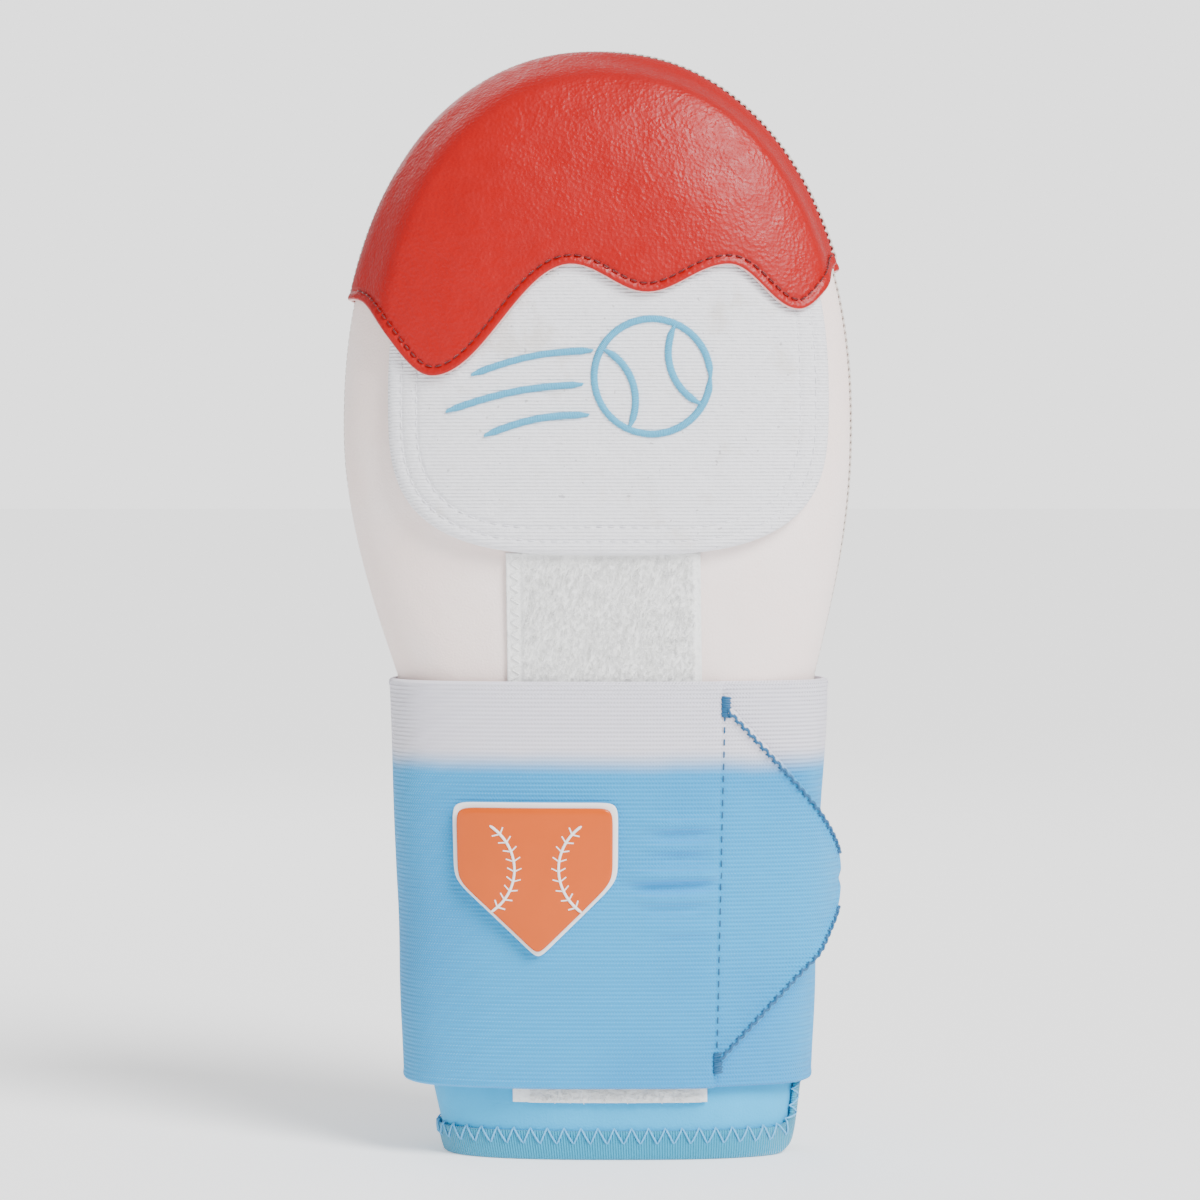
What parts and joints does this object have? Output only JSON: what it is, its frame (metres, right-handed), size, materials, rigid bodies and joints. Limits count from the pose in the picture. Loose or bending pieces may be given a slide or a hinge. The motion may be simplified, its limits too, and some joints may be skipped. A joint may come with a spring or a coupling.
{
  "type": "baseball sliding mitt",
  "caption": "Padded paddle-shaped hand guard with leather finger caps, a ribbed knuckle pad, loop tape and a wide elastic wrist strap around an open cuff.",
  "frame": {"origin": "middle of the bounding box's foot, on the floor that the cuff's hem stands on", "axes": "+Z from the cuff to the fingertips; -Y out of the back of the hand, which carries the pad, the strap's end and the badge; +X towards the side of the strap's tab and the slit"},
  "size_m": [0.132, 0.0578, 0.2855],
  "materials": {
    "white_neoprene": "matte knit-faced foam",
    "red_leather": "pebbled, soft sheen",
    "pad_fabric": "ribbed, matte",
    "loop_fabric": "fuzzy loop pile, matte",
    "strap_elastic": "woven elastic, matte",
    "binding_rib": "ribbed stretch tape, matte",
    "badge_white": "satin moulded rubber",
    "badge_orange": "glossy moulded rubber"
  },
  "bodies": {
    "root": {"back_panel": "white_neoprene", "palm_panel": "white_neoprene", "finger_cap": "red_leather", "palm_cap": "red_leather", "knuckle_pad": "pad_fabric", "loop_tape": "loop_fabric", "wrist_strap": "strap_elastic", "cuff_binding": "binding_rib", "badge_backing": "badge_white", "badge_face": "badge_orange"}
  },
  "joints": []
}
